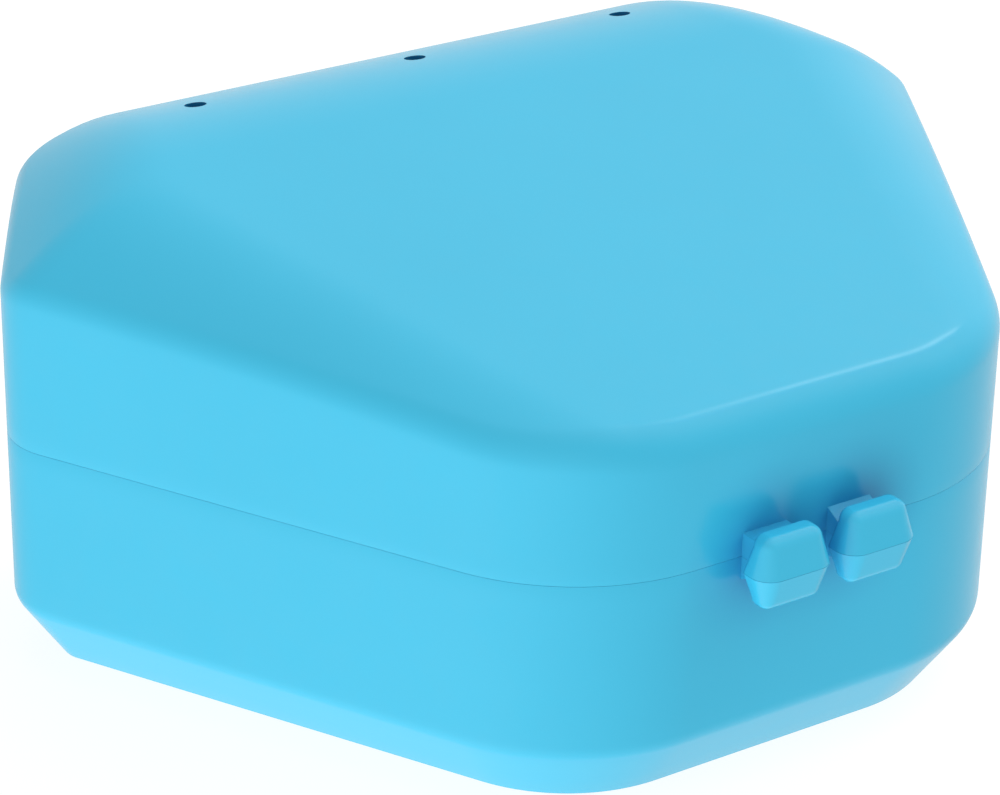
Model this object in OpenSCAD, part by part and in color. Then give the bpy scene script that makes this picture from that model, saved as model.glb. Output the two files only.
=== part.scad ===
// Denture case: a two-part moulded box with a hinged, domed and vented lid.
// Millimetres. The case stands on Z = 0, its front faces -Y and its seam is level.

/* [Outline] */
// Width of the front wall, between its unrounded corners
front_w = 44.4; // [40:0.2:50]
// Angle by which each side wall spreads from straight back
side_angle = 28.1; // [24:0.1:31]
// Length of each side wall, between its unrounded corners
side_len = 55.7; // [50:0.1:58]
// Angle by which each rear corner wall closes in from straight back
rear_angle = 31.5; // [28:0.5:42]
// Depth from the front wall to the back wall
case_depth = 68.4; // [64:0.2:72]
// Radius of the two front corners
front_r = 18.4; // [14:0.2:19]
// Radius of the two side corners, where the case is widest
side_r = 6.6; // [5.6:0.1:8]
// Radius of the two back corners
back_r = 6; // [5.6:0.1:9]

/* [Base] */
// Height of the seam above the table
seam_z = 22; // [18:0.2:26]
// Height of the chamfer round the foot
foot_h = 6.2; // [4:0.1:8]
// Inset of the chamfer round the foot
foot_inset = 4.2; // [3:0.1:5]
// Softening of the chamfer's upper edge, along the wall
foot_soft = 0.8; // [0.4:0.1:1.2]
// Wall thickness of both halves
wall = 2; // [1.6:0.1:2.2]
// Floor thickness
floor_t = 2; // [1.6:0.1:3]

/* [Lid] */
// Height of the top plane above the table, at the front wall
top_front_z = 34.3; // [33:0.1:36]
// Slope of the top plane, rising to the back, in degrees
top_slope = 11; // [9:0.1:12]
// Where the top plane and the back slope would meet, from the front wall
ridge_y = 64; // [60:0.2:68]
// Fall of the back slope, per millimetre
back_fall = 0.84; // [0.6:0.02:1]
// Height of each side facet at the front end of its wall
side_front_z = 37.6; // [36:0.1:39]
// Height of each side facet at the rear end of its wall
side_rear_z = 37.1; // [36:0.1:39]
// Rise of each side facet, per millimetre inwards
side_rise = 1.24; // [0.8:0.02:1.4]
// Height of each rear corner facet above the side corner
corner_z = 35.6; // [34:0.2:38]
// Rise of each rear corner facet, per millimetre inwards
corner_rise = 1.16; // [0.8:0.02:1.4]
// Direction in which the rear corner facet falls, from sideways towards the back
corner_turn = 17.5; // [12:0.5:30]
// Blend between the top plane and the back slope
ridge_blend = 14; // [8:0.5:18]
// Blend between the top and the facets
facet_blend = 10; // [5:0.5:14]
// Blend between a side facet and its corner facet
corner_blend = 1.6; // [1:0.1:4]
// Radius of the lid's edge, between the walls and the top
edge_r = 3.4; // [2.4:0.1:4]
// Roof thickness, measured upright
roof_t = 2.2; // [1.8:0.1:2.6]

/* [Vents] */
// Diameter of each vent hole
vent_d = 2; // [1.5:0.1:3]
// Spacing of the vent holes
vent_pitch = 22.9; // [18:0.1:24]
// Distance of the vent holes from the front wall
vent_y = 60.6; // [56:0.2:62]

/* [Seam] */
// Gap at the seam with the lid shut
seam_gap = 0.04; // [0.04:0.01:0.2]
// Height of the rim lip above the seam
lip_h = 1.5; // [1:0.1:2]
// Inset of the rim lip's outer face
lip_inset = 1.2; // [1.1:0.05:1.4]
// Clearance between the rim lip and the lid's rebate
lip_clear = 0.3; // [0.25:0.05:0.4]
// How far the snap bead stands out from the rim lip
bead_out = 0.2; // [0.1:0.02:0.25]
// Length of the snap bead
bead_l = 14; // [8:1:16]

/* [Grips] */
// Distance of each grip's middle from the middle of the case
grip_x = 4.31; // [4.1:0.01:5]
// Width of the stem
stem_w = 4.42; // [3:0.1:5]
// Height of the stem, both halves together
stem_h = 4.26; // [3:0.1:5]
// Length of the stem, from the wall to the grip
stem_l = 2.1; // [1.5:0.1:4]
// Slope of the stems' one slanting face: on top of the right stem and underneath the left one
stem_slant = 0.5; // [0:0.05:0.8]
// Width of the grip at the seam
grip_w = 7.6; // [6:0.1:8]
// Thickness of the grip at the seam
grip_t = 3; // [2.6:0.1:4]
// Height of the grip, both halves together
grip_h = 6.46; // [5.6:0.02:8]
// Draft of the grip's sides, from the seam to where the rounding begins
grip_side_draft = 0.7; // [0.4:0.02:1.2]
// Draft of the grip's front, from the seam to where the rounding begins
grip_front_draft = 0.7; // [0.4:0.02:1]
// Radius of the grip's two front corners at the seam
grip_front_r = 1.88; // [1:0.02:2]
// Radius of the grip's two back corners at the seam
grip_back_r = 0.4; // [0.2:0.05:0.8]
// Radius of the two front corners where the rounding begins
round_front_r = 1.2; // [0.6:0.05:1.3]
// Radius of the two back corners where the rounding begins
round_back_r = 0.85; // [0.4:0.05:0.9]
// Height of the rounding at the upper and lower ends
round_h = 0.94; // [0.4:0.02:1.2]
// Reach of that rounding over the front
round_front = 1.1; // [0.6:0.05:1.2]
// Reach of that rounding over the sides
round_side = 1.04; // [0.4:0.02:1.2]
// Reach of that rounding over the back
round_back = 0.3; // [0.1:0.02:0.5]

/* [Hinge] */
// Distance of each hinge's middle from the middle of the case
hinge_x = 17; // [14:0.5:20]
// Distance of the hinge axis behind the back wall
hinge_off = 3.2; // [3:0.1:4]
// Radius of the hinge barrels
barrel_r = 2.6; // [2.2:0.1:2.7]
// Radius of the hinge pins
pin_r = 1; // [0.8:0.05:1.2]
// Running clearance round each pin in the lid's knuckle
pin_clear = 0.06; // [0.02:0.01:0.1]
// Length of the lid's knuckle
knuckle_l = 6; // [4:0.5:8]
// Length of each ear on the base
ear_l = 3.4; // [2.5:0.1:4]
// Gap between the knuckle and each ear
ear_gap = 0.3; // [0.2:0.05:0.4]
// Reach of the hinge webs down the base and up the lid
web_h = 7.5; // [6:0.5:9]

/* [Hidden] */
plastic_blue = [0.35, 0.79, 0.92];
pin_white = [0.93, 0.94, 0.95];
// Thickness of the slices that a grip is hulled from.
slice = 0.01;

// The grips reach out in front and the hinge barrels behind: the origin is under the middle of both.
grip_reach = stem_l + grip_t;
hinge_reach = hinge_off + barrel_r;
front_y = (grip_reach - case_depth - hinge_reach) / 2;

// Corners of the outline, anticlockwise from the front right: unrounded corner, radius, and the
// angles that the walls before and after it face.
side_corner = [front_w / 2 + side_len * sin(side_angle), side_len * cos(side_angle)];
back_corner = [side_corner.x - (case_depth - side_corner.y) * tan(rear_angle), case_depth];
right_corners = [
    [[front_w / 2, 0], front_r, -90, -side_angle],
    [side_corner, side_r, -side_angle, rear_angle],
    [back_corner, back_r, rear_angle, 90]
];
function mirrored(c) = [[-c[0].x, c[0].y], c[1], 180 - c[3], 180 - c[2]];
corners = concat(right_corners, [for (k = [2 : -1 : 0]) mirrored(right_corners[k])]);
corner_steps = [10, 6, 5, 5, 6, 10];
wall_steps = [8, 4, 6, 4, 8, 4];

// A station is a point of the outline with the direction that leads inwards from it.
function inwards(a) = [-cos(a), -sin(a)];
function arc_station(c, a) =
    let (half = (c[3] - c[2]) / 2, mid = (c[2] + c[3]) / 2)
    [c[0] + c[1] / cos(half) * inwards(mid) - c[1] * inwards(a), inwards(a)];
stations = [
    for (k = [0 : 5])
        let (c = corners[k], after = corners[(k + 1) % 6],
             from = arc_station(c, c[3]), to = arc_station(after, after[2]))
        each concat(
            [for (s = [0 : corner_steps[k]]) arc_station(c, c[2] + (c[3] - c[2]) * s / corner_steps[k])],
            [for (s = [1 : wall_steps[k] - 1])
                [from[0] + (to[0] - from[0]) * s / wall_steps[k], from[1]]]
        )
];
function station_at(st, inset) = st[0] + inset * st[1];
function outline(inset) = [for (st = stations) station_at(st, inset)];
function level_ring(inset, z) = [for (p = outline(inset)) [p.x, p.y, z]];

// The lid's roof is the lowest of its planes, blended where they meet.
function blend(a, b, k) = let (h = max(k - abs(a - b), 0) / k) min(a, b) - h * h * k / 4;
function top_plane(y) = top_front_z + y * tan(top_slope);
function back_slope(y) = top_plane(ridge_y) - back_fall * (y - ridge_y);
function side_facet(x, y) =
    let (dx = x - front_w / 2,
         along = dx * sin(side_angle) + y * cos(side_angle),
         inset = y * sin(side_angle) - dx * cos(side_angle))
    side_front_z + (side_rear_z - side_front_z) * along / side_len + side_rise * inset;
function corner_facet(x, y) =
    corner_z + corner_rise * ((side_corner.x - x) * cos(corner_turn) - (y - side_corner.y) * sin(corner_turn));
function roof_z(p) =
    let (x = abs(p.x),
         top = blend(top_plane(p.y), back_slope(p.y), ridge_blend),
         facets = blend(side_facet(x, p.y), corner_facet(x, p.y), corner_blend))
    blend(top, facets, facet_blend);

// The edge between a wall and the roof is an arc that meets both without a crease.
function slope_at(st, inset) = max(0, (roof_z(station_at(st, inset + 0.4)) - roof_z(station_at(st, inset))) / 0.4);
function arc_inset(s, r) = r * (1 - s / sqrt(1 + s * s));
function arc_drop(i, s, r) = r * (sqrt(1 + s * s) - s) + s * i - sqrt(max(0, r * r - (r - i) * (r - i)));
function edge_ring(inset, under, r, share) = [
    for (st = stations)
        let (s = slope_at(st, inset), i = share * arc_inset(s, r), p = station_at(st, inset + i))
        [p.x, p.y, roof_z(p) - under - arc_drop(i, s, r)]
];
crown = [0, case_depth / 2];
function roof_ring(inset, under, r, share) = [
    for (st = stations)
        let (edge = station_at(st, inset + arc_inset(slope_at(st, inset), r)),
             p = edge + (crown - edge) * share)
        [p.x, p.y, roof_z(p) - under]
];

// A closed skin through rings of equal count, from its upper pole to its lower pole.
module skin(upper, rings, lower) {
    n = len(rings[0]);
    last = len(rings) - 1;
    points = concat([upper], [for (r = rings) each r], [lower]);
    faces = concat(
        [for (j = [0 : n - 1]) [0, 1 + (j + 1) % n, 1 + j]],
        [for (k = [0 : last - 1], j = [0 : n - 1])
            let (a = 1 + k * n + j, b = 1 + k * n + (j + 1) % n)
            each [[a, b, b + n], [a, b + n, a + n]]],
        [for (j = [0 : n - 1]) [1 + last * n + j, 1 + last * n + (j + 1) % n, len(points) - 1]]
    );
    polyhedron(points, faces);
}

module rim_band(outer, inner, z, h) {
    translate([0, 0, z]) linear_extrude(h) difference() {
        polygon(outline(outer));
        polygon(outline(inner));
    }
}

module place() {
    translate([0, front_y, 0]) children();
}

// The chamfer round the foot, as inset and height: a point this far along it, from its upper corner.
chamfer = [foot_inset, -foot_h] / norm([foot_inset, foot_h]);
chamfer_l = norm([foot_inset, foot_h]);
function on_chamfer(d) = [0, foot_h] + d * chamfer;
// Softened upper corner: the middle of three points between the wall and the chamfer.
soft_corner = ([0, foot_h + foot_soft] + 2 * [0, foot_h] + on_chamfer(foot_soft)) / 4;
// Softening of the sharp edge that the case stands on.
stand_soft = 0.25;
// The inside follows the chamfer at the thickness of the wall.
inner_shift = wall * [-chamfer.y, chamfer.x];
function inner_at_z(z) = on_chamfer((foot_h + inner_shift.y - z) / -chamfer.y) + inner_shift;
function inner_at_inset(i) = on_chamfer((i - inner_shift.x) / chamfer.x) + inner_shift;
floor_inset = min(inner_at_z(floor_t).x, side_r - stand_soft, back_r - stand_soft);

function ring_at(p) = level_ring(p.x, p.y);

base_rim_z = seam_z - seam_gap / 2;
module base_shell() {
    color(plastic_blue) place() skin(
        [crown.x, crown.y, floor_t],
        [
            level_ring(floor_inset, floor_t),
            ring_at(inner_at_inset(wall)),
            level_ring(wall, base_rim_z),
            level_ring(0, base_rim_z),
            level_ring(0, foot_h + foot_soft),
            ring_at(soft_corner),
            ring_at(on_chamfer(foot_soft)),
            ring_at(on_chamfer(chamfer_l - stand_soft)),
            level_ring(foot_inset + stand_soft, 0)
        ],
        [crown.x, crown.y, 0]
    );
}

// The rim lip stands in a rebate of the lid, which has headroom above it.
lid_rim_z = seam_z + seam_gap / 2;
rebate_inset = lip_inset - lip_clear;
lip_headroom = 0.4;
rebate_z = seam_z + lip_h + lip_headroom;
bead_r = 0.5;
bead_z = seam_z + lip_h * 0.55;
// How much longer the groove in the lid is than the bead.
groove_extra = 1;

// Radius of the edge inside the lid, and the shares at which the lid's rings lie on its arcs and roof.
inner_r = 1.2;
arc_shares = [0, 0.05, 0.18, 0.4, 0.68, 1];
roof_shares = [0.06, 0.13, 0.2, 0.28, 0.36, 0.45, 0.55, 0.66, 0.78, 0.9];
inner_arc_shares = [0, 0.18, 0.4, 1];
inner_roof_shares = [0.1, 0.22, 0.36, 0.52, 0.7, 0.88];

module bead(length) {
    translate([-length / 2, 0, bead_z]) rotate([0, 90, 0]) cylinder(r = bead_r, h = length, $fn = 32);
}

module base_rim_lip() {
    color(plastic_blue) place() {
        rim_band(lip_inset, wall, base_rim_z, lip_h);
        // The snap bead runs along the front of the lip.
        intersection() {
            translate([0, lip_inset + bead_r - bead_out, 0]) bead(bead_l);
            translate([-bead_l, 0, base_rim_z]) cube([2 * bead_l, (lip_inset + wall) / 2, lip_h]);
        }
    }
}

module lid_shell() {
    color(plastic_blue) place() difference() {
        skin(
            [crown.x, crown.y, roof_z(crown)],
            concat(
                [for (k = [len(roof_shares) - 1 : -1 : 0]) roof_ring(0, 0, edge_r, roof_shares[k])],
                [for (k = [len(arc_shares) - 1 : -1 : 0]) edge_ring(0, 0, edge_r, arc_shares[k])],
                [
                    level_ring(0, lid_rim_z),
                    level_ring(rebate_inset, lid_rim_z),
                    level_ring(rebate_inset, rebate_z),
                    level_ring(wall, rebate_z)
                ],
                [for (share = inner_arc_shares) edge_ring(wall, roof_t, inner_r, share)],
                [for (share = inner_roof_shares) roof_ring(wall, roof_t, inner_r, share)]
            ),
            [crown.x, crown.y, roof_z(crown) - roof_t]
        );
        for (k = [-1 : 1]) translate([k * vent_pitch, vent_y, rebate_z])
            cylinder(d = vent_d, h = 2 * top_front_z, $fn = 48);
        // Shallow groove that the snap bead sits in.
        translate([0, lip_inset, 0]) bead(bead_l + groove_extra);
    }
}

// Plan of a grip's cap, with the insets of its sides, front and back and the radii of its front and back
// corners. The shares are the most of its depth that those corners take up.
front_share = 0.58;
back_share = 0.4;
module grip_slice(z, side_in, front_in, back_in, front_corner_r, back_corner_r) {
    half = grip_w / 2 - side_in;
    front = front_in - grip_reach;
    back = -stem_l - back_in;
    front_corner = min(front_corner_r, front_share * (back - front));
    back_corner = min(back_corner_r, back_share * (back - front));
    translate([0, 0, z]) linear_extrude(slice) hull() for (side = [-1, 1]) {
        translate([side * (half - front_corner), front + front_corner]) circle(r = front_corner, $fn = 32);
        translate([side * (half - back_corner), back - back_corner]) circle(r = back_corner, $fn = 16);
    }
}

// The rounding curves from the flank's lean to a faint edge round the flat end. It runs from t = 0 to 1.
crest = 0.88;
tip_r = 0.2;
round_steps = [1 / 3, 2 / 3, 1];
function curved(t, lean, reach) = 2 * t * (1 - t) * crest * lean + t * t * reach;

// One half of a grip, drawn upwards from the seam: a cap on a stem that is let into its back.
stem_let_in = 0.3;
module grip_half(slant) {
    end_z = grip_h / 2 - round_h;
    lean = round_h / end_z;
    low = seam_gap / 2;
    high = stem_h / 2;
    reach = stem_l + stem_let_in;
    translate([-stem_w / 2, 0, 0]) rotate([90, 0, 90]) linear_extrude(stem_w)
        polygon([[0, low], [0, high], [-reach, high - slant * reach], [-reach, low]]);
    hull() {
        grip_slice(low, 0, 0, 0, grip_front_r, grip_back_r);
        grip_slice(end_z, grip_side_draft, grip_front_draft, 0, round_front_r, round_back_r);
        for (t = round_steps) grip_slice(
            end_z + curved(t, round_h, round_h) - slice,
            grip_side_draft + curved(t, lean * grip_side_draft, round_side),
            grip_front_draft + curved(t, lean * grip_front_draft, round_front),
            curved(t, 0, round_back),
            round_front_r + t * (tip_r - round_front_r),
            round_back_r + t * (tip_r - round_back_r)
        );
    }
}

// The right grip slants on top and the left one underneath.
module grip(side, up) {
    color(plastic_blue) place() translate([side * grip_x, 0, seam_z])
        mirror([0, 0, up ? 0 : 1]) grip_half((side > 0) == up ? stem_slant : 0);
}
module base_grip_left() { grip(-1, false); }
module base_grip_right() { grip(1, false); }
module lid_grip_left() { grip(-1, true); }
module lid_grip_right() { grip(1, true); }

// Side view of a hinge leaf about its axis: a barrel with a web that runs tangent to it.
// Drawn for the base, with the web reaching down the wall from just under the seam.
web_start = 0.4;
module leaf_profile() {
    foot = [-hinge_off, -web_h];
    a = atan2(foot.y, foot.x) + acos(barrel_r / norm(foot));
    circle(r = barrel_r, $fn = 64);
    polygon([[-hinge_off, -web_start], foot, barrel_r * [cos(a), sin(a)], [0, 0]]);
}

// A stretch of leaf, from x = from along the hinge axis.
module leaf(from, length, bore_r) {
    translate([from, 0, 0]) rotate([90, 0, 90]) linear_extrude(length) difference() {
        leaf_profile();
        circle(r = bore_r, $fn = 48);
    }
}

module at_hinge(side) {
    place() translate([side * hinge_x, case_depth + hinge_off, seam_z]) children();
}

module base_hinge(side) {
    color(plastic_blue) at_hinge(side) {
        leaf(-knuckle_l / 2 - ear_gap - ear_l, ear_l, pin_r);
        leaf(knuckle_l / 2 + ear_gap, ear_l, pin_r);
    }
}
module base_hinge_left() { base_hinge(-1); }
module base_hinge_right() { base_hinge(1); }

module lid_hinge(side) {
    color(plastic_blue) at_hinge(side) mirror([0, 0, 1])
        leaf(-knuckle_l / 2, knuckle_l, pin_r + pin_clear);
}
module lid_hinge_left() { lid_hinge(-1); }
module lid_hinge_right() { lid_hinge(1); }

pin_l = knuckle_l + 2 * (ear_gap + ear_l);
module hinge_pin(side) {
    color(pin_white) at_hinge(side) translate([-pin_l / 2, 0, 0]) rotate([0, 90, 0])
        cylinder(r = pin_r, h = pin_l, $fn = 48);
}
module hinge_pin_left() { hinge_pin(-1); }
module hinge_pin_right() { hinge_pin(1); }

base_shell();
base_rim_lip();
base_grip_left();
base_grip_right();
base_hinge_left();
base_hinge_right();
hinge_pin_left();
hinge_pin_right();
lid_shell();
lid_grip_left();
lid_grip_right();
lid_hinge_left();
lid_hinge_right();
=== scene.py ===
"""Dresses the denture case: moulded shells, lip, grips and hinges, in a white photo studio."""
import math

import bpy
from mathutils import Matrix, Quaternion, Vector


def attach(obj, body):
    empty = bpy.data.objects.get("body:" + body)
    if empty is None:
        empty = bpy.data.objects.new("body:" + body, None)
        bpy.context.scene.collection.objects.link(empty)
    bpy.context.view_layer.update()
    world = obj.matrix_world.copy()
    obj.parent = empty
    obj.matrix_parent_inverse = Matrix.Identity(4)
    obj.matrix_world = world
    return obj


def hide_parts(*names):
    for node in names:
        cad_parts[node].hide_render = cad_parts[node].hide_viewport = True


MM = 0.001

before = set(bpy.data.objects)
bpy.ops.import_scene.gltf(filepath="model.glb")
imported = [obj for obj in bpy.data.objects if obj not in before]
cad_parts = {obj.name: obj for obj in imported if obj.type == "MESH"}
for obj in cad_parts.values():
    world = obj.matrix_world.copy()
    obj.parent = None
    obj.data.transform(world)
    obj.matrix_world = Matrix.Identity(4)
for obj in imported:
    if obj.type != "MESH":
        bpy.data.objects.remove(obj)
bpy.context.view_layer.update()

# ---------------------------------------------------------------------------------------------
# Driving sizes in millimetres: the same values as the solids. Y runs back from the front wall.
# ---------------------------------------------------------------------------------------------
FRONT_W, CASE_DEPTH = 44.4, 68.4
SIDE_ANGLE, REAR_ANGLE, SIDE_LEN = 28.1, 31.5, 55.7
FRONT_R, SIDE_R, BACK_R = 18.4, 6.6, 6.0
SEAM_Z = 22.0
FOOT_H, FOOT_INSET, FOOT_SOFT = 6.2, 4.2, 0.8
WALL, FLOOR_T, ROOF_T = 2.0, 2.0, 2.2
TOP_FRONT_Z, TOP_SLOPE, RIDGE_Y, BACK_FALL = 34.3, 11.0, 64.0, 0.84
SIDE_FRONT_Z, SIDE_REAR_Z, SIDE_RISE = 37.6, 37.1, 1.24
CORNER_Z, CORNER_RISE, CORNER_TURN = 35.6, 1.16, 17.5
RIDGE_BLEND, FACET_BLEND, CORNER_BLEND = 14.0, 10.0, 1.6
EDGE_R, INNER_R = 3.4, 1.2
VENT_D, VENT_PITCH, VENT_Y = 2.0, 22.9, 60.6
LIP_H, LIP_INSET, LIP_CLEAR, LIP_HEADROOM = 1.5, 1.2, 0.3, 0.4
BEAD_OUT, BEAD_L, BEAD_R = 0.2, 14.0, 0.5
GRIP_X, STEM_W, STEM_H, STEM_L = 4.31, 4.42, 4.26, 2.1
STEM_SLANT, STEM_LET_IN = 0.5, 0.3
GRIP_W, GRIP_T, GRIP_H = 7.6, 3.0, 6.46
GRIP_SIDE_DRAFT, GRIP_FRONT_DRAFT, GRIP_FRONT_R, GRIP_BACK_R = 0.7, 0.7, 1.88, 0.4
ROUND_FRONT_R, ROUND_BACK_R, TIP_R, CREST = 1.2, 0.85, 0.2, 0.88
ROUND_H, ROUND_FRONT, ROUND_SIDE, ROUND_BACK = 0.94, 1.1, 1.04, 0.3
HINGE_OFF, BARREL_R = 3.2, 2.6

FRONT_Y = (STEM_L + GRIP_T - CASE_DEPTH - HINGE_OFF - BARREL_R) / 2
# The dressed rims stand a little closer than the solids' rims, which keep a safe gap.
RIM_GAP = 0.02
LID_RIM_Z, BASE_RIM_Z = SEAM_Z + RIM_GAP / 2, SEAM_Z - RIM_GAP / 2
RIM_EDGE = 0.012     # rounding of both halves' edges at the seam
STAND_SOFT = 0.25    # rounding of the edge that the case stands on
TRAY_SOFT = 1.2      # reach of the rounding in the tray's two inner bends, along wall and chamfer
FLOOR_SOFT = 0.5     # reach of the lower bend's rounding along the floor
LIP_EDGE = 0.25      # rounding of the rim lip's two upper edges
BEAD_SHARE = 0.55    # height of the snap bead, as a share of the lip's
BEAD_TAPER = 0.8     # length over which each end of the snap bead runs out
TIP_EDGE = 0.03      # breaking of the edge round each grip's flat end
STEM_EDGE = 0.04     # breaking of the stems' edges
HINGE_EDGE = 0.18    # rounding of the hinge leaves' and pins' edges


def rad_sin_cos(degrees):
    return math.sin(math.radians(degrees)), math.cos(math.radians(degrees))


SIDE_SIN, SIDE_COS = rad_sin_cos(SIDE_ANGLE)
SIDE_CORNER = (FRONT_W / 2 + SIDE_LEN * SIDE_SIN, SIDE_LEN * SIDE_COS)
BACK_CORNER = (
    SIDE_CORNER[0] - (CASE_DEPTH - SIDE_CORNER[1]) * math.tan(math.radians(REAR_ANGLE)),
    CASE_DEPTH,
)
CROWN = (0.0, CASE_DEPTH / 2)


# ---------------------------------------------------------------------------------------------
# Outline: stations round the case, each a point with the direction that leads inwards
# ---------------------------------------------------------------------------------------------
def outline_corners():
    """Unrounded corner, radius, and the angles that the walls before and after it face."""
    right = [
        ((FRONT_W / 2, 0.0), FRONT_R, -90.0, -SIDE_ANGLE),
        (SIDE_CORNER, SIDE_R, -SIDE_ANGLE, REAR_ANGLE),
        (BACK_CORNER, BACK_R, REAR_ANGLE, 90.0),
    ]
    left = [((-x, y), r, 180 - after, 180 - before) for (x, y), r, before, after in reversed(right)]
    return right + left


def arc_station(corner, angle):
    (x, y), r, before, after = corner
    half, middle = math.radians(after - before) / 2, math.radians(before + after) / 2
    reach = r / math.cos(half)
    a = math.radians(angle)
    inward = (-math.cos(a), -math.sin(a))
    point = (x - reach * math.cos(middle) - r * inward[0], y - reach * math.sin(middle) - r * inward[1])
    return point, inward


def make_stations(arc_steps, wall_steps):
    corners = outline_corners()
    out = []
    for k, corner in enumerate(corners):
        following = corners[(k + 1) % len(corners)]
        before, after = corner[2], corner[3]
        for s in range(arc_steps[k] + 1):
            out.append(arc_station(corner, before + (after - before) * s / arc_steps[k]))
        (ax, ay), inward = out[-1]
        (bx, by), _ = arc_station(following, following[2])
        for s in range(1, wall_steps[k]):
            t = s / wall_steps[k]
            out.append(((ax + (bx - ax) * t, ay + (by - ay) * t), inward))
    return out


# Steps round each corner and along the wall that follows it, from the right front corner on.
CORNER_STEPS = (40, 26, 22, 22, 26, 40)
WALL_STEPS = (64, 26, 60, 26, 64, 26)
STATIONS = make_stations(CORNER_STEPS, WALL_STEPS)


def inset_point(station, inset):
    (x, y), (nx, ny) = station
    return x + inset * nx, y + inset * ny


def level_ring(inset, z):
    return [(*inset_point(s, inset), z) for s in STATIONS]


# ---------------------------------------------------------------------------------------------
# Roof of the lid: the lowest of its planes, blended where they meet
# ---------------------------------------------------------------------------------------------
def blend(a, b, k):
    h = max(k - abs(a - b), 0.0) / k
    return min(a, b) - h * h * k / 4


def top_plane(y):
    return TOP_FRONT_Z + y * math.tan(math.radians(TOP_SLOPE))


def roof_z(x, y):
    x = abs(x)
    back = top_plane(RIDGE_Y) - BACK_FALL * (y - RIDGE_Y)
    dx = x - FRONT_W / 2
    along, inset = dx * SIDE_SIN + y * SIDE_COS, y * SIDE_SIN - dx * SIDE_COS
    side = SIDE_FRONT_Z + (SIDE_REAR_Z - SIDE_FRONT_Z) * along / SIDE_LEN + SIDE_RISE * inset
    turn_sin, turn_cos = rad_sin_cos(CORNER_TURN)
    corner = CORNER_Z + CORNER_RISE * ((SIDE_CORNER[0] - x) * turn_cos - (y - SIDE_CORNER[1]) * turn_sin)
    facets = blend(side, corner, CORNER_BLEND)
    return blend(blend(top_plane(y), back, RIDGE_BLEND), facets, FACET_BLEND)


def slope_at(station, inset):
    step = 0.4
    rise = roof_z(*inset_point(station, inset + step)) - roof_z(*inset_point(station, inset))
    return max(0.0, rise / step)


def arc_inset(slope, r):
    return r * (1 - slope / math.sqrt(1 + slope * slope))


def edge_ring(inset, under, r, turn):
    """Ring on the arc between wall and roof. turn is its share of the arc's angle."""
    ring = []
    for s in STATIONS:
        slope = slope_at(s, inset)
        lean = math.atan2(1, slope)          # angle that the arc turns through
        i = r * (1 - math.cos(turn * lean))
        x, y = inset_point(s, inset + i)
        drop = r * (math.sqrt(1 + slope * slope) - slope) + slope * i
        drop -= math.sqrt(max(0.0, r * r - (r - i) ** 2))
        ring.append((x, y, roof_z(x, y) - under - drop))
    return ring


def roof_ring(inset, under, r, share):
    ring = []
    for s in STATIONS:
        ex, ey = inset_point(s, inset + arc_inset(slope_at(s, inset), r))
        x, y = ex + (CROWN[0] - ex) * share, ey + (CROWN[1] - ey) * share
        ring.append((x, y, roof_z(x, y) - under))
    return ring


def wall_rings(low, high, count):
    """Rings between two rings, so that a tall wall has even faces."""
    return [
        [tuple(a + (b - a) * k / (count + 1) for a, b in zip(p, q)) for p, q in zip(low, high)]
        for k in range(1, count + 1)
    ]


def round_edge(outer_inset, z, r, up, steps=4):
    """Rings that round a rim's outer edge, from the flat rim to the wall.

    up is +1 for an edge below its wall and -1 for one above it.
    """
    rings = []
    for k in range(steps + 1):
        a = math.pi / 2 * k / steps
        rings.append(level_ring(outer_inset + r * (1 - math.sin(a)), z + up * r * (1 - math.cos(a))))
    return rings


# ---------------------------------------------------------------------------------------------
# Meshes
# ---------------------------------------------------------------------------------------------
# Angles in degrees from which an edge counts as sharp: on the shells, on a bare cap, on a joined grip, and
# on the hinges.
SHELL_SHARP, CAP_SHARP, GRIP_SHARP, HINGE_SHARP = 35.0, 40.0, 30.0, 40.0
# Rings between the ends of the tray's inner wall, of both outer walls, and of the lid's inner wall.
TRAY_RINGS, WALL_RINGS, LID_RINGS = 6, 8, 4


def to_frame(p):
    return p[0] * MM, (p[1] + FRONT_Y) * MM, p[2] * MM


def new_piece(name, points, faces, body, nodes, sharp=SHELL_SHARP):
    mesh = bpy.data.meshes.new(name)
    mesh.from_pydata([to_frame(p) for p in points], [], faces)
    mesh.validate()
    mesh.shade_smooth()
    mesh.set_sharp_from_angle(angle=math.radians(sharp))
    piece = bpy.data.objects.new(name, mesh)
    bpy.context.scene.collection.objects.link(piece)
    if nodes:
        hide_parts(*nodes)
    if body:
        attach(piece, body)
    return piece


def skin(rings, top, bottom):
    """Closed skin through rings of equal count, between an upper and a lower pole."""
    n = len(rings[0])
    points = [top] + [p for ring in rings for p in ring] + [bottom]
    faces = [(0, 1 + (j + 1) % n, 1 + j) for j in range(n)]
    for k in range(len(rings) - 1):
        for j in range(n):
            a, b = 1 + k * n + j, 1 + k * n + (j + 1) % n
            faces.append((a, b, b + n, a + n))
    last = 1 + (len(rings) - 1) * n
    faces += [(last + j, last + (j + 1) % n, len(points) - 1) for j in range(n)]
    return points, faces


def loop_skin(rings):
    """Closed skin through rings that run round to the first one again."""
    n = len(rings[0])
    points = [p for ring in rings for p in ring]
    faces = []
    for k in range(len(rings)):
        here, there = k * n, ((k + 1) % len(rings)) * n
        faces += [(here + j, here + (j + 1) % n, there + (j + 1) % n, there + j) for j in range(n)]
    return points, faces


# Base: foot chamfer as inset and height, and the inside that follows it at the wall's thickness
CHAMFER_L = math.hypot(FOOT_INSET, FOOT_H)
CHAMFER = (FOOT_INSET / CHAMFER_L, -FOOT_H / CHAMFER_L)


def on_chamfer(d, shift=0.0):
    """Inset and height at distance d down the chamfer, moved into the wall by shift."""
    return d * CHAMFER[0] - shift * CHAMFER[1], FOOT_H + d * CHAMFER[1] + shift * CHAMFER[0]


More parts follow.
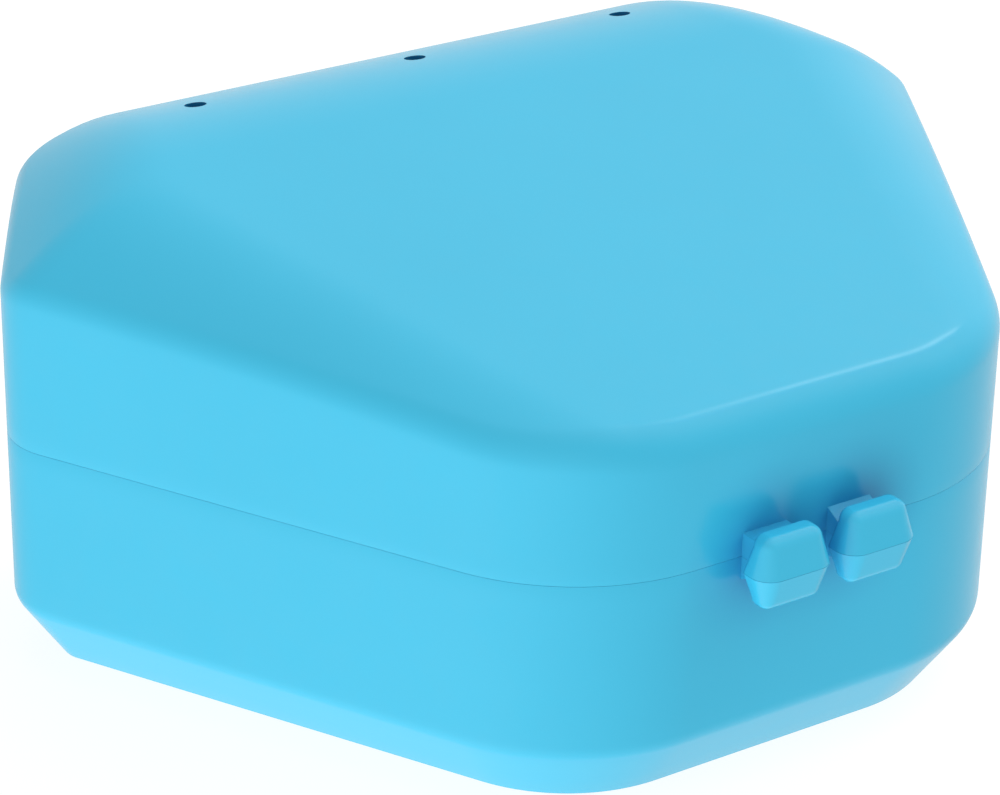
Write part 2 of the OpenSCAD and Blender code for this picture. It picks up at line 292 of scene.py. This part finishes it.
def bend(start, corner, end, steps):
    """Points of a soft corner from start to end, as inset and height."""
    out = []
    for k in range(steps + 1):
        t = k / steps
        a, b, c = (1 - t) ** 2, 2 * t * (1 - t), t * t
        out.append(tuple(a * p + b * q + c * r for p, q, r in zip(start, corner, end)))
    return out


def build_base():
    """The tray, from its floor up the inside, over the rim and down the outside to the foot."""
    inner_top_d = (WALL + WALL * CHAMFER[1]) / CHAMFER[0]
    inner_low_d = (FOOT_H + WALL * CHAMFER[0] - FLOOR_T) / -CHAMFER[1]
    corner_in = on_chamfer(inner_top_d, WALL)
    corner_low = on_chamfer(inner_low_d, WALL)
    floor_end = (corner_low[0] + FLOOR_SOFT, FLOOR_T)
    inside = (
        bend(floor_end, corner_low, on_chamfer(inner_low_d - TRAY_SOFT, WALL), 6)
        + bend(on_chamfer(inner_top_d + TRAY_SOFT, WALL), corner_in, (WALL, corner_in[1] + TRAY_SOFT), 6)
    )
    stand_end = (FOOT_INSET + STAND_SOFT, 0.0)
    outside = (
        bend((0.0, FOOT_H + FOOT_SOFT), (0.0, FOOT_H), on_chamfer(FOOT_SOFT), 8)
        + [on_chamfer(CHAMFER_L * t) for t in (0.35, 0.65)]
        + bend(on_chamfer(CHAMFER_L - STAND_SOFT), (FOOT_INSET, 0.0), stand_end, 5)
    )
    rings = [level_ring(i, z) for i, z in inside]
    rings += wall_rings(rings[-1], level_ring(WALL, BASE_RIM_Z), TRAY_RINGS)
    rings += [level_ring(WALL, BASE_RIM_Z)]
    rings += round_edge(0.0, BASE_RIM_Z, RIM_EDGE, -1)
    rings += wall_rings(rings[-1], level_ring(*outside[0]), WALL_RINGS)
    rings += [level_ring(i, z) for i, z in outside]
    points, faces = skin(rings, (*CROWN, FLOOR_T), (*CROWN, 0.0))
    return new_piece("base_moulding", points, faces, "base", ["base_shell"])


def build_lip():
    """The rim lip with rounded top edges; the snap bead swells its outer face along the front."""
    low, high, r = BASE_RIM_Z, BASE_RIM_Z + LIP_H, LIP_EDGE
    bead_z = SEAM_Z + LIP_H * BEAD_SHARE
    wall_steps, arc_steps = 14, 5
    heights = [low + (high - r - low) * k / wall_steps for k in range(wall_steps + 1)]

    def outer(z):
        ring = []
        for s in STATIONS:
            (x, _), inward = s
            on_front = inward[1] > 0.98
            end = max(0.0, min(1.0, (BEAD_L / 2 - abs(x)) / BEAD_TAPER)) if on_front else 0.0
            round_out = math.sqrt(max(0.0, BEAD_R ** 2 - (z - bead_z) ** 2))
            swell = max(0.0, round_out - (BEAD_R - BEAD_OUT))
            ring.append((*inset_point(s, LIP_INSET - swell * math.sqrt(end)), z))
        return ring

    rings = [outer(z) for z in heights]
    for k in range(1, arc_steps + 1):
        a = math.pi / 2 * k / arc_steps
        rings.append(level_ring(LIP_INSET + r * (1 - math.cos(a)), high - r + r * math.sin(a)))
    for k in range(1, arc_steps + 1):
        a = math.pi / 2 * k / arc_steps
        rings.append(level_ring(WALL - r * (1 - math.sin(a)), high - r + r * math.cos(a)))
    rings.append(level_ring(WALL, low))
    points, faces = loop_skin([list(reversed(ring)) for ring in reversed(rings)])
    return new_piece("base_rim_lip_moulding", points, faces, "base", ["base_rim_lip"])


def build_lid():
    """The lid, from its crown down the outside, over the rim and the rebate and up the inside."""
    rebate_inset, rebate_z = LIP_INSET - LIP_CLEAR, SEAM_Z + LIP_H + LIP_HEADROOM
    arc_steps, inner_arc_steps, roof_steps, inner_roof_steps = 14, 6, 44, 24
    arc = [edge_ring(0.0, 0.0, EDGE_R, k / arc_steps) for k in range(arc_steps + 1)]
    # The roof's rings lie a little closer together near the edge, where it bends.
    roof_shares = [(k / roof_steps) ** 1.1 for k in range(1, roof_steps)]
    rings = [roof_ring(0.0, 0.0, EDGE_R, t) for t in reversed(roof_shares)]
    rings += list(reversed(arc))
    seam = list(reversed(round_edge(0.0, LID_RIM_Z, RIM_EDGE, 1)))
    rings += wall_rings(arc[0], seam[0], WALL_RINGS) + seam
    rebate = ((rebate_inset, LID_RIM_Z), (rebate_inset, rebate_z), (WALL, rebate_z))
    rings += [level_ring(inset, z) for inset, z in rebate]
    inner_arc = [edge_ring(WALL, ROOF_T, INNER_R, k / inner_arc_steps) for k in range(inner_arc_steps + 1)]
    rings += wall_rings(rings[-1], inner_arc[0], LID_RINGS) + inner_arc
    rings += [roof_ring(WALL, ROOF_T, INNER_R, k / inner_roof_steps) for k in range(1, inner_roof_steps)]
    crown_z = roof_z(*CROWN)
    points, faces = skin(rings, (*CROWN, crown_z), (*CROWN, crown_z - ROOF_T))
    return new_piece("lid_moulding", points, faces, "lid", ["lid_shell"])


VENT_XS = tuple(k * VENT_PITCH for k in (-1, 0, 1))
VENT_SHADE_SLOT = 1        # the lid's slot for the hole walls, which take a darker colour as painted shade
VENT_REACH = 2.5         # how far from a hole's edge the roof's own normals are set
VENT_SIDES, VENT_CUT_L = 96, 30
ROOF_LOW = SEAM_Z + 12   # no face of the roof near the holes lies lower


def cut_vents(lid):
    """Drills the vent holes, then gives the faces round them the roof's own normals."""
    cutters = []
    for vent_x in VENT_XS:
        bpy.ops.mesh.primitive_cylinder_add(
            vertices=VENT_SIDES, radius=VENT_D / 2 * MM, depth=VENT_CUT_L * MM,
            location=to_frame((vent_x, VENT_Y, roof_z(0, VENT_Y))),
        )
        cutter = bpy.context.object
        cutters.append(cutter)
        cut = lid.modifiers.new("vent", "BOOLEAN")
        cut.operation, cut.solver, cut.object = "DIFFERENCE", "EXACT", cutter
    depsgraph = bpy.context.evaluated_depsgraph_get()
    cut_mesh = bpy.data.meshes.new_from_object(lid.evaluated_get(depsgraph))
    lid.modifiers.clear()
    old = lid.data
    lid.data = cut_mesh
    bpy.data.meshes.remove(old)
    cut_mesh.name = lid.name
    for cutter in cutters:
        data = cutter.data
        bpy.data.objects.remove(cutter)
        bpy.data.meshes.remove(data)
    cut_mesh.set_sharp_from_angle(angle=math.radians(SHELL_SHARP))

    def roof_normal(x, y):
        d = 0.01
        gx = (roof_z(x + d, y) - roof_z(x - d, y)) / (2 * d)
        gy = (roof_z(x, y + d) - roof_z(x, y - d)) / (2 * d)
        return Vector((-gx, -gy, 1)).normalized()

    normals = [Vector(c.vector) for c in cut_mesh.corner_normals]
    near = VENT_D / 2 + VENT_REACH
    for face in cut_mesh.polygons:
        x, y = face.center.x / MM, face.center.y / MM - FRONT_Y
        centre = min(VENT_XS, key=lambda c: abs(c - x))
        if math.hypot(x - centre, y - VENT_Y) > near or face.center.z < ROOF_LOW * MM:
            continue
        is_roof = abs(face.normal.z) > 0.5
        if not is_roof:
            # Painted shade: the hole walls take the darker vent material.
            face.material_index = VENT_SHADE_SLOT
        for loop in face.loop_indices:
            v = cut_mesh.vertices[cut_mesh.loops[loop].vertex_index].co
            vx, vy = v.x / MM, v.y / MM - FRONT_Y
            if is_roof:
                normals[loop] = roof_normal(vx, vy) * (1 if face.normal.z > 0 else -1)
            else:
                normals[loop] = Vector((centre - vx, VENT_Y - vy, 0)).normalized()
    cut_mesh.normals_split_custom_set(normals)


# ---------------------------------------------------------------------------------------------
# Grips: a square stem with a rounded, drafted cap, one half above the seam and one below
# ---------------------------------------------------------------------------------------------
def cap_section(z, side_in, front_in, back_in, r, rb):
    """Plan of the cap at height z, counter-clockwise.

    It takes the insets of its sides, front and back, and the radii of its front and back corners.
    """
    front_steps, back_steps = 24, 12
    half = GRIP_W / 2 - side_in
    front, back = front_in - STEM_L - GRIP_T, -STEM_L - back_in
    out = []
    for cx, cy, radius, start, steps in (
        (half - r, front + r, r, -90, front_steps),
        (half - rb, back - rb, rb, 0, back_steps),
        (-half + rb, back - rb, rb, 90, back_steps),
        (-half + r, front + r, r, 180, front_steps),
    ):
        for k in range(steps + 1):
            a = math.radians(start + 90 * k / steps)
            out.append((cx + radius * math.cos(a), cy + radius * math.sin(a), z))
    return out


def cap_rings():
    """Sections of the cap, upwards from its softened edge at the seam."""
    low, end_z, soft = RIM_GAP / 2, GRIP_H / 2 - ROUND_H, RIM_EDGE
    edge_steps, flank_steps, round_steps = 3, 16, 18
    rings = []
    for k in range(edge_steps + 1):
        a = math.pi / 2 * k / edge_steps
        i = soft * (1 - math.sin(a))
        rings.append(cap_section(low + soft * (1 - math.cos(a)), i, i, i, GRIP_FRONT_R, GRIP_BACK_R))
    for k in range(1, flank_steps + 1):
        t = k / flank_steps
        rings.append(cap_section(
            low + soft + (end_z - low - soft) * t, t * GRIP_SIDE_DRAFT, t * GRIP_FRONT_DRAFT, 0.0,
            GRIP_FRONT_R + t * (ROUND_FRONT_R - GRIP_FRONT_R),
            GRIP_BACK_R + t * (ROUND_BACK_R - GRIP_BACK_R)))

    # The rounding leaves the flanks without a crease and meets the flat end in a faint edge.
    def curved(t, lean, reach):
        return 2 * t * (1 - t) * CREST * lean + t * t * reach

    lean = ROUND_H / end_z
    for k in range(1, round_steps + 1):
        t = k / round_steps
        rings.append(cap_section(
            end_z + curved(t, ROUND_H, ROUND_H),
            GRIP_SIDE_DRAFT + curved(t, lean * GRIP_SIDE_DRAFT, ROUND_SIDE),
            GRIP_FRONT_DRAFT + curved(t, lean * GRIP_FRONT_DRAFT, ROUND_FRONT),
            curved(t, 0.0, ROUND_BACK),
            ROUND_FRONT_R + t * (TIP_R - ROUND_FRONT_R), ROUND_BACK_R + t * (TIP_R - ROUND_BACK_R)))
    i = TIP_EDGE
    rings.append(cap_section(
        GRIP_H / 2, GRIP_SIDE_DRAFT + ROUND_SIDE + i, GRIP_FRONT_DRAFT + ROUND_FRONT + i, ROUND_BACK + i,
        TIP_R - i / 2, TIP_R - i / 2))
    return rings


def build_grip(name, side, up, body, node):
    """One half of a grip with its stem. side is -1 on the left and 1 on the right."""
    low, rings = RIM_GAP / 2, cap_rings()
    n = len(rings[0])
    points = [p for ring in rings for p in ring]
    faces = [tuple(reversed(range(n)))]
    for k in range(len(rings) - 1):
        for j in range(n):
            a, b = k * n + j, k * n + (j + 1) % n
            faces.append((a, b, b + n, a + n))
    faces.append(tuple((len(rings) - 1) * n + j for j in range(n)))

    # Stem: a bar with lightly broken edges, let into the cap's back. The right one slants on top and the
    # left one underneath.
    e, w, high = STEM_EDGE, STEM_W / 2, STEM_H / 2
    reach = STEM_L + STEM_LET_IN
    slant = STEM_SLANT if (side > 0) == up else 0.0
    stem = []
    for y in (-reach, 0.0):
        top = high + slant * y
        profile = ((-w, low), (w, low), (w, top - e), (w - e, top), (-w + e, top), (-w, top - e))
        stem += [(x, y, z) for x, z in profile]
    m = len(profile)
    stem_faces = [tuple(range(m)), tuple(reversed(range(m, 2 * m)))]
    stem_faces += [(j + m, (j + 1) % m + m, (j + 1) % m, j) for j in range(m)]

    def place(p):
        z = SEAM_Z + (p[2] if up else -p[2])
        return side * GRIP_X + p[0], p[1], z

    def wound(fs):
        return fs if up else [tuple(reversed(f)) for f in fs]

    cap = new_piece(name, [place(p) for p in points], wound(faces), body, [node], sharp=CAP_SHARP)
    bar = new_piece(name + "_stem", [place(p) for p in stem], wound(stem_faces), None, [])
    join = cap.modifiers.new("stem", "BOOLEAN")
    join.operation, join.solver, join.object = "UNION", "EXACT", bar
    mesh = bpy.data.meshes.new_from_object(cap.evaluated_get(bpy.context.evaluated_depsgraph_get()))
    cap.modifiers.clear()
    old, bar_mesh = cap.data, bar.data
    cap.data = mesh
    bpy.data.objects.remove(bar)
    bpy.data.meshes.remove(bar_mesh)
    bpy.data.meshes.remove(old)
    mesh.name = name
    mesh.set_sharp_from_angle(angle=math.radians(GRIP_SHARP))
    return cap


# ---------------------------------------------------------------------------------------------
# Materials
# ---------------------------------------------------------------------------------------------
def nodes_of(material):
    """Clears the nodes of a material or world, and returns what makes a node and a link in it."""
    material.use_nodes = True
    tree = material.node_tree
    tree.nodes.clear()
    return tree.nodes.new, tree.links.new


# Painted shade: in tight corners, as round the grips' stems, ambient occlusion darkens the colour. Its
# reach, and the share of each colour left there.
PAINTED_SHADE_REACH, PAINTED_SHADE_TONE = 5.5 * MM, (0.5, 0.5, 0.7)
# Colour drift and uneven gloss: how many times each repeats in a metre, and how far the gloss strays.
DRIFT_SCALE, GLOSS_SCALE, GLOSS_SPREAD = 38, 420, 0.025
# The span that a noise mostly keeps to.
NOISE_LOW, NOISE_HIGH = 0.3, 0.7
# Rays that the painted shade in corners takes at each point.
PAINTED_SHADE_SAMPLES = 8
PLASTIC_IOR = 1.5


def moulded_plastic(name, colour, deeper, roughness, grain_size, grain_depth):
    """Satin injection-moulded plastic: faint colour drift, fine spark-eroded grain, uneven gloss, and
    painted shade in tight corners.

    grain_size and grain_depth are in metres.
    """
    material = bpy.data.materials.new(name)
    new, link = nodes_of(material)
    out = new("ShaderNodeOutputMaterial")
    shader = new("ShaderNodeBsdfPrincipled")
    link(shader.outputs["BSDF"], out.inputs["Surface"])
    where = new("ShaderNodeTexCoord").outputs["Object"]

    def noise(scale, detail, rough=0.5):
        n = new("ShaderNodeTexNoise")
        n.inputs["Scale"].default_value = scale
        n.inputs["Detail"].default_value = detail
        n.inputs["Roughness"].default_value = rough
        link(where, n.inputs["Vector"])
        return n.outputs["Fac"]

    def ramp(value, low, high):
        r = new("ShaderNodeMapRange")
        r.inputs["From Min"].default_value, r.inputs["From Max"].default_value = NOISE_LOW, NOISE_HIGH
        r.inputs["To Min"].default_value, r.inputs["To Max"].default_value = low, high
        link(value, r.inputs["Value"])
        return r.outputs["Result"]

    mix = new("ShaderNodeMix")
    mix.data_type = "RGBA"
    mix.inputs["A"].default_value = (*colour, 1)
    mix.inputs["B"].default_value = (*deeper, 1)
    link(ramp(noise(DRIFT_SCALE, 3), 0.0, 1.0), mix.inputs["Factor"])
    # Painted shade: ambient occlusion darkens the base colour in tight corners, creases and between parts.
    corner = new("ShaderNodeAmbientOcclusion")
    corner.samples = PAINTED_SHADE_SAMPLES
    corner.inputs["Distance"].default_value = PAINTED_SHADE_REACH
    depth, shaded = new("ShaderNodeMix"), new("ShaderNodeMix")
    depth.data_type = shaded.data_type = "RGBA"
    depth.inputs["A"].default_value = (*PAINTED_SHADE_TONE, 1)
    depth.inputs["B"].default_value = (1, 1, 1, 1)
    link(corner.outputs["AO"], depth.inputs["Factor"])
    shaded.blend_type = "MULTIPLY"
    shaded.inputs["Factor"].default_value = 1.0
    link(mix.outputs["Result"], shaded.inputs["A"])
    link(depth.outputs["Result"], shaded.inputs["B"])
    link(shaded.outputs["Result"], shader.inputs["Base Color"])
    gloss = ramp(noise(GLOSS_SCALE, 4), roughness - GLOSS_SPREAD, roughness + GLOSS_SPREAD)
    link(gloss, shader.inputs["Roughness"])
    shader.inputs["IOR"].default_value = PLASTIC_IOR
    bump = new("ShaderNodeBump")
    bump.inputs["Strength"].default_value = 1.0
    bump.inputs["Distance"].default_value = grain_depth
    link(noise(1 / grain_size, 2, 0.6), bump.inputs["Height"])
    link(bump.outputs["Normal"], shader.inputs["Normal"])
    return material


SHELL_BLUE = (0.044, 0.548, 0.821)
shell_plastic = moulded_plastic(
    "shell_plastic", SHELL_BLUE, tuple(c * 0.975 for c in SHELL_BLUE),
    roughness=0.22, grain_size=0.22 * MM, grain_depth=0.0012 * MM)
# Painted shade: a darker copy of the shell plastic for the vent holes' walls, where the bores lie in
# shadow.
vent_painted_shade = moulded_plastic(
    "vent_painted_shade", (0.004, 0.260, 0.500), (0.004, 0.230, 0.460),
    roughness=0.5, grain_size=0.22 * MM, grain_depth=0.002 * MM)
pin_plastic = moulded_plastic(
    "pin_plastic", (0.80, 0.82, 0.83), (0.74, 0.76, 0.78),
    roughness=0.42, grain_size=0.3 * MM, grain_depth=0.002 * MM)


def dress(piece, *materials):
    """Puts the materials in the piece's slots. With more than one, each face keeps its slot's number."""
    which = [face.material_index for face in piece.data.polygons] if len(materials) > 1 else None
    piece.data.materials.clear()
    for material in materials:
        piece.data.materials.append(material)
    if which:
        piece.data.polygons.foreach_set("material_index", which)


# ---------------------------------------------------------------------------------------------
# The object
# ---------------------------------------------------------------------------------------------
dress(build_base(), shell_plastic)
dress(build_lip(), shell_plastic)
lid = build_lid()
cut_vents(lid)
dress(lid, shell_plastic, vent_painted_shade)
for label, side in (("left", -1), ("right", 1)):
    for body, up in (("base", False), ("lid", True)):
        node = f"{body}_grip_{label}"
        dress(build_grip(node + "_moulding", side, up, body, node), shell_plastic)

for name in ("base_hinge_left", "base_hinge_right", "lid_hinge_left", "lid_hinge_right",
             "hinge_pin_left", "hinge_pin_right"):
    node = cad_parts[name]
    bevel = node.modifiers.new("broken_edges", "BEVEL")
    bevel.width, bevel.segments, bevel.limit_method = HINGE_EDGE * MM, 3, "ANGLE"
    bevel.angle_limit, bevel.harden_normals = math.radians(HINGE_SHARP), True
    for slot in node.material_slots:
        slot.material = pin_plastic if "pin" in name else shell_plastic


# ---------------------------------------------------------------------------------------------
# Studio: pale floor, soft light all round, and the camera at the photograph's viewing angle
# ---------------------------------------------------------------------------------------------
LIGHT_LEVEL = 1.28
LOBE_SHARPNESS = 7.0
# Where the soft lights stand round the object, and how bright each one is.
SOFT_LIGHTS = (
    ((-1, -1, -1), 0.74), ((-1, -1, 0), 0.61), ((-1, -1, 1), 0.48), ((-1, 0, -1), 2.27),
    ((-1, 0, 0), 0.54), ((-1, 0, 1), 0.08), ((-1, 1, -1), 0.45), ((0, -1, -1), 0.70),
    ((0, -1, 0), 0.39), ((0, -1, 1), 0.03), ((0, 0, -1), 0.74), ((0, 0, 1), 0.89),
    ((0, 1, 0), 0.39), ((1, -1, 1), 0.07), ((1, 0, 0), 0.36), ((1, 0, 1), 2.69),
    ((1, 1, -1), 0.98), ((1, 1, 0), 0.22), ((1, 1, 1), 0.51),
)
# One far lamp, high up behind on the right, that draws the fine light line along the rounded front edge:
# where it stands, its width in degrees and its strength.
EDGE_LAMP = ((0.61, 0.345, 0.715), 8.0, 0.06)

# The floor: half its side in metres, how far it lies below the object, its diffuse tone and its glow.
FLOOR_REACH, FLOOR_DROP, FLOOR_TONE, FLOOR_GLOW = 3.0, 0.02 * MM, 0.2, 0.88
# The camera: where it stands and what it looks at, in case millimetres, its roll in degrees and its lens.
CAMERA_AT, CAMERA_AIM = (-166.844, -205.143, 162.215), (0.042, 45.585, 15.69)
CAMERA_ROLL, CAMERA_LENS, CAMERA_SENSOR = 0.99, 131.06, 36.0


def background_rays(new, link):
    """1 for the rays that show the background: from the camera, off gloss or through a clear part."""
    path = new("ShaderNodeLightPath")
    shows = path.outputs["Is Camera Ray"]
    for ray in ("Is Glossy Ray", "Is Transmission Ray"):
        either = new("ShaderNodeMath")
        either.operation = "MAXIMUM"
        link(shows, either.inputs[0])
        link(path.outputs[ray], either.inputs[1])
        shows = either.outputs["Value"]
    return shows


def soft_light():
    """A white tent: wide soft lobes of light round the object, with plain white for the background."""
    world = bpy.data.worlds.new("studio")
    bpy.context.scene.world = world
    new, link = nodes_of(world)
    direction = new("ShaderNodeTexCoord").outputs["Generated"]
    total = None
    for axis, weight in SOFT_LIGHTS:
        dot = new("ShaderNodeVectorMath")
        dot.operation = "DOT_PRODUCT"
        dot.inputs[1].default_value = Vector(axis).normalized()
        link(direction, dot.inputs[0])
        # weight * exp(LOBE_SHARPNESS * (dot - 1))
        scaled = new("ShaderNodeMath")
        scaled.operation = "MULTIPLY_ADD"
        scaled.inputs[1].default_value = LOBE_SHARPNESS
        scaled.inputs[2].default_value = math.log(LIGHT_LEVEL * weight) - LOBE_SHARPNESS
        link(dot.outputs["Value"], scaled.inputs[0])
        lobe = new("ShaderNodeMath")
        lobe.operation = "EXPONENT"
        link(scaled.outputs["Value"], lobe.inputs[0])
        if total is None:
            total = lobe.outputs["Value"]
        else:
            add = new("ShaderNodeMath")
            link(total, add.inputs[0])
            link(lobe.outputs["Value"], add.inputs[1])
            total = add.outputs["Value"]
    light, plain = new("ShaderNodeBackground"), new("ShaderNodeBackground")
    link(total, light.inputs["Strength"])
    plain.inputs["Strength"].default_value = 1.0
    seen = new("ShaderNodeMixShader")
    link(background_rays(new, link), seen.inputs["Fac"])
    link(light.outputs["Background"], seen.inputs[1])
    link(plain.outputs["Background"], seen.inputs[2])
    link(seen.outputs["Shader"], new("ShaderNodeOutputWorld").inputs["Surface"])


def edge_lamp():
    """A small far lamp for the light lines along the rounded edges."""
    axis, width, strength = EDGE_LAMP
    data = bpy.data.lights.new("edge_lamp", "SUN")
    data.angle, data.energy = math.radians(width), strength
    lamp = bpy.data.objects.new("edge_lamp", data)
    bpy.context.scene.collection.objects.link(lamp)
    lamp.rotation_mode = "QUATERNION"
    lamp.rotation_quaternion = Vector(axis).to_track_quat("Z", "Y")


def pale_floor():
    """White floor that keeps a soft contact shadow and lets the tent's lower half light the object."""
    material = bpy.data.materials.new("floor_white")
    new, link = nodes_of(material)
    diffuse, glow = new("ShaderNodeBsdfDiffuse"), new("ShaderNodeEmission")
    both = new("ShaderNodeAddShader")
    diffuse.inputs["Color"].default_value = (FLOOR_TONE, FLOOR_TONE, FLOOR_TONE, 1)
    link(background_rays(new, link), glow.inputs["Strength"])
    glow.inputs["Color"].default_value = (FLOOR_GLOW, FLOOR_GLOW, FLOOR_GLOW, 1)
    link(diffuse.outputs["BSDF"], both.inputs[0])
    link(glow.outputs["Emission"], both.inputs[1])
    link(both.outputs["Shader"], new("ShaderNodeOutputMaterial").inputs["Surface"])
    mesh = bpy.data.meshes.new("floor")
    r = FLOOR_REACH
    mesh.from_pydata([(-r, -r, 0), (r, -r, 0), (r, r, 0), (-r, r, 0)], [], [(0, 1, 2, 3)])
    floor = bpy.data.objects.new("floor", mesh)
    bpy.context.scene.collection.objects.link(floor)
    floor.location.z = -FLOOR_DROP
    floor.data.materials.append(material)
    for ray in ("visible_diffuse", "visible_glossy", "visible_transmission", "visible_shadow"):
        setattr(floor, ray, False)


def photo_camera():
    """The photograph's viewing angle and framing."""
    data = bpy.data.cameras.new("photo_camera")
    camera = bpy.data.objects.new("photo_camera", data)
    bpy.context.scene.collection.objects.link(camera)
    eye, aim = Vector(to_frame(CAMERA_AT)), Vector(to_frame(CAMERA_AIM))
    camera.location = eye
    look = (aim - eye).to_track_quat("-Z", "Y")
    camera.rotation_mode = "QUATERNION"
    camera.rotation_quaternion = look @ Quaternion((0, 0, 1), math.radians(CAMERA_ROLL))
    data.lens, data.sensor_width = CAMERA_LENS, CAMERA_SENSOR
    data.clip_start, data.clip_end = 0.01, 10.0
    bpy.context.scene.camera = camera


soft_light()
edge_lamp()
pale_floor()
photo_camera()
bpy.context.scene.view_settings.view_transform = "Standard"
